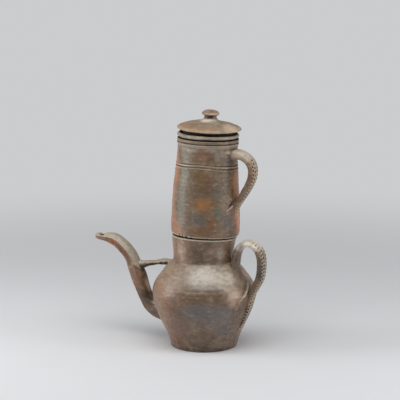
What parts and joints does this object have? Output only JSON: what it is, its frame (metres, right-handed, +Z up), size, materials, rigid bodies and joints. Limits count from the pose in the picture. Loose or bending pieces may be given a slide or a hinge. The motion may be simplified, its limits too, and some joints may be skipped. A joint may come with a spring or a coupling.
{
  "type": "drip coffee pot",
  "caption": "Thrown stoneware drip coffee pot: bellied pot with long spout and strap handle, tall filter chamber with its own handle, spreader ring and knobbed lid.",
  "frame": {"origin": "centre of the pot's foot, on the surface it stands on", "axes": "+Z up, +X towards the handles, -X towards the spout"},
  "size_m": [0.2789, 0.1524, 0.3493],
  "materials": {
    "pot_clay": "salt and ash glazed stoneware, grey-brown, half matt",
    "spout_clay": "ash glazed stoneware, pale on top, rust brown below",
    "strap_clay": "ash glazed stoneware with roulette marks",
    "chamber_clay": "salt glazed stoneware, brown with orange flashing",
    "bare_clay": "bare fired stoneware",
    "ring_clay": "salt glazed stoneware",
    "lid_clay": "ash glazed stoneware, pale brown"
  },
  "bodies": {
    "pot": {"pot_body": "pot_clay", "pot_spout": "spout_clay", "spout_brace": "spout_clay", "pot_handle": "strap_clay"},
    "filter": {"filter_body": "chamber_clay", "filter_floor": "bare_clay", "filter_handle": "strap_clay"},
    "spreader": {"spreader": "ring_clay"},
    "lid": {"lid": "lid_clay", "lid_knob": "lid_clay"}
  },
  "joints": [
    {"name": "filter_lift", "type": "slide", "parent": "pot", "child": "filter", "axis": [0.0454, 0, 0.999], "range_m": [0, 0.06]},
    {"name": "spreader_lift", "type": "slide", "parent": "filter", "child": "spreader", "axis": [0.0454, 0, 0.999], "range_m": [0, 0.04]},
    {"name": "lid_lift", "type": "slide", "parent": "spreader", "child": "lid", "axis": [0.0454, 0, 0.999], "range_m": [0, 0.04]}
  ]
}
